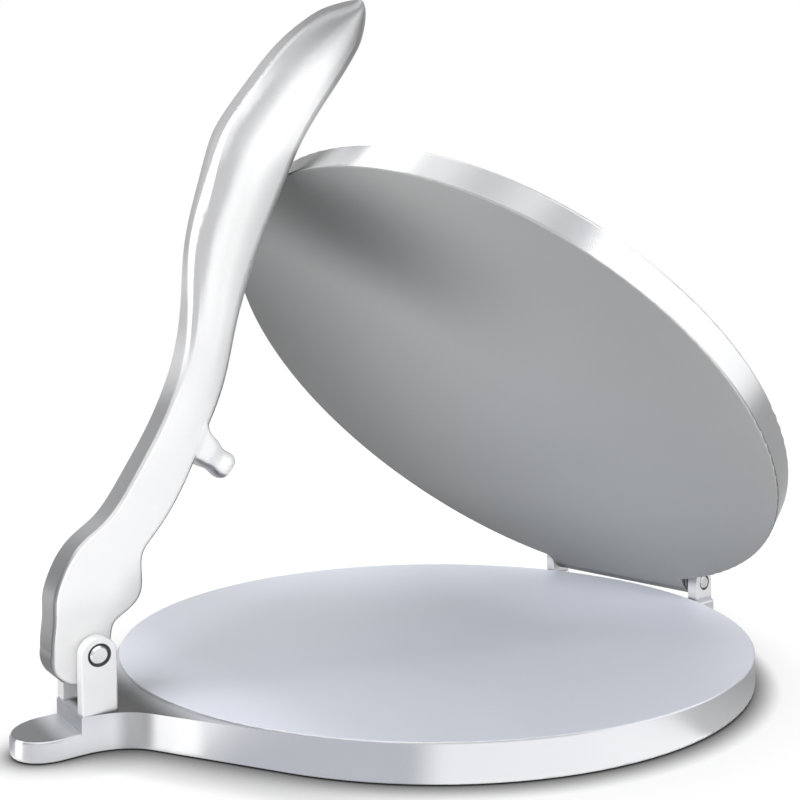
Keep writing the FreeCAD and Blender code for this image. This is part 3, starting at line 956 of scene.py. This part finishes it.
# Table as the metal sees it, once round the press from its -X side, first past the -Y side
TABLE_COLOURS = (
    (0.000, (1.15, 1.15, 1.15)),
    (0.006, (0.75, 0.75, 0.76)),
    (0.020, (0.80, 0.80, 0.81)),
    (0.025, (0.98, 0.98, 0.98)),
    (0.031, (1.00, 1.00, 1.00)),
    (0.036, (1.35, 1.35, 1.35)),
    (0.047, (0.78, 0.78, 0.80)),
    (0.060, (0.60, 0.615, 0.665)),
    (0.130, (0.61, 0.625, 0.665)),
    (0.142, (1.10, 1.10, 1.10)),
    (0.258, (1.16, 1.16, 1.15)),
    (0.266, (0.64, 0.64, 0.64)),
    (0.345, (0.36, 0.36, 0.36)),
    (0.550, (0.85, 0.85, 0.86)),
    (0.880, (0.85, 0.85, 0.86)),
    (0.930, (0.40, 0.40, 0.41)),
    (0.990, (0.45, 0.45, 0.46)),
    (1.000, (1.15, 1.15, 1.15)),
)
# Walls of the room, once round from its +Y side, first past the -X side
ROOM_COLOURS = (
    (0.00, (0.40, 0.41, 0.42)),
    (0.12, (0.34, 0.35, 0.36)),
    (0.24, (0.38, 0.385, 0.39)),
    (0.33, (0.62, 0.62, 0.63)),
    (0.40, (0.70, 0.70, 0.71)),
    (0.50, (0.68, 0.68, 0.70)),
    (0.60, (0.72, 0.73, 0.75)),
    (0.75, (0.66, 0.66, 0.67)),
    (0.88, (0.80, 0.80, 0.80)),
    (1.00, (0.40, 0.41, 0.42)),
)
WHITE = (1.0, 1.0, 1.0)


@dataclass
class Studio:
    """Floor, room, lamps and camera; lengths in metres."""

    aim: Vector = field(default_factory=lambda: Vector((0.0, 0.0, 0.06)))
    lamps: tuple[Softbox, ...] = (
        Softbox("key_softbox", 37, 17, 1.4, 1.35, 0.85, 0.65),
        Softbox("west_softbox", -88, 47, 1.3, 1.6, 0.55, 0.75),
        Softbox("top_softbox", 0, 88, 1.5, 1.5, 1.5, 0.85),
        Softbox("west_fill", -80, 31, 1.3, 1.3, 0.5, 8.0, False),
        Softbox("south_fill", 30, 4, 1.3, 1.2, 0.6, 2.0, False),
    )
    floor_size: float = 8.0
    floor_gap: float = 0.05 * MM
    # Shadow on the floor: it reaches wider beside the low lug than beside the round plate
    shadow_samples: int = 16
    lug_shadow: float = 15 * MM
    plate_shadow: float = 7.5 * MM
    shadow_change: Span = millimetres(-100, -60)
    shadow_depth: float = 2.2
    # Share of the lamps' light that the floor gives to the castings and to the camera
    matt_shares: Span = (0.80, 0.14)
    # White that the floor adds for the camera, near the press and away from it
    lift_fade: Span = millimetres(100, 160)
    lifts: Span = (0.78, 0.98)
    # Dark ceiling, by the upward part of the ray
    ceiling: Span = (0.86, 0.97)
    ceiling_colour: Colour = (0.20, 0.20, 0.21)
    # White backdrop behind the press, by the ray's parts to the north and to the east
    backdrop_north: Span = (0.55, 0.85)
    backdrop_east: Span = (-0.10, 0.15)

    def build(self) -> None:
        """Set up everything round the press."""
        self._lay_floor()
        self._light_world()
        for softbox in self.lamps:
            softbox.hang(self.aim)
        PhotoCamera().stand()
        bpy.context.scene.view_settings.view_transform = "Standard"

    def _lay_floor(self) -> None:
        """Lay a plain white floor that keeps the shadow."""
        bpy.ops.object.select_all(action="DESELECT")
        spot = (0.0, 0.0, -self.floor_gap)
        bpy.ops.mesh.primitive_plane_add(size=self.floor_size, location=spot)
        floor = bpy.context.active_object
        bpy.ops.object.transform_apply(location=True, rotation=True, scale=True)
        floor.name = "studio_floor"
        floor.data.materials.append(self._floor_material())

    def _floor_material(self) -> bpy.types.Material:
        """Make the floor: white with a close shadow for the camera, a tinted table for metal.

        Returns:
            The material.
        """
        material = bpy.data.materials.new("studio_floor_white")
        tree = ShaderTree(material)
        place = Place(tree)
        seen, mirrored = tree.rays()
        wide, narrow = (
            tree.add(
                "ShaderNodeAmbientOcclusion",
                {"samples": self.shadow_samples},
                {"Distance": reach},
                "AO",
            )
            for reach in (self.lug_shadow, self.plate_shadow)
        )
        close = tree.blend(place.x.ease(*self.shadow_change), wide, narrow).power(self.shadow_depth)
        share = tree.blend(seen, *self.matt_shares) * close
        matt = tree.add("ShaderNodeBsdfDiffuse", None, {"Color": tree.tint(WHITE, share)})
        radius = place.x.distance(place.y)
        strength = seen * close * radius.change(self.lift_fade, *self.lifts)
        lift = tree.add("ShaderNodeEmission", None, {"Color": WHITE, "Strength": strength})
        white = tree.add("ShaderNodeAddShader", None, {0: matt, 1: lift})
        colours = tree.ramp(place.y.azimuth(place.x), TABLE_COLOURS, "LINEAR")
        table = tree.add("ShaderNodeEmission", None, {"Color": colours, "Strength": 1.0})
        whole = tree.add("ShaderNodeMixShader", None, {0: mirrored, 1: white, 2: table})
        tree.node("ShaderNodeOutputMaterial", None, {0: whole})
        return material

    def _light_world(self) -> None:
        """Light the room softly and keep the background white."""
        world = bpy.data.worlds.new("studio_room")
        bpy.context.scene.world = world
        tree = ShaderTree(world)
        way = tree.add("ShaderNodeTexCoord", None, None, "Generated")
        split = tree.node("ShaderNodeSeparateXYZ", None, {0: way})
        east, north, up = (Sock(tree, split.outputs[i]) for i in range(3))
        room = tree.ramp(east.azimuth(-north), ROOM_COLOURS, "LINEAR")
        room = tree.mix(up.ease(*self.ceiling), room, self.ceiling_colour)
        seen, mirrored = tree.rays()
        backdrop = north.ease(*self.backdrop_north) * east.ease(*self.backdrop_east)
        seen = seen.greatest(mirrored * backdrop)
        colour = tree.mix(seen, room, WHITE)
        back = tree.add("ShaderNodeBackground", None, {0: colour, 1: 1.0})
        tree.node("ShaderNodeOutputWorld", None, {0: back})


def main() -> None:
    """Dress each sub-assembly, then set up the studio."""
    logging.basicConfig(level=logging.INFO, format="%(name)s: %(message)s")
    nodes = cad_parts
    BaseCasting(nodes["base"]).dress()
    LOG.info("base casting dressed")
    UpperPlate(nodes["upper_plate"]).dress()
    LOG.info("upper plate dressed")
    PressLever(nodes["lever"]).dress()
    LOG.info("lever dressed")
    Pins([nodes["lever_pin"], nodes["hinge_pin"]]).dress()
    LOG.info("pins dressed")
    Studio().build()
    LOG.info("studio ready")


if __name__ == "__main__":
    main()
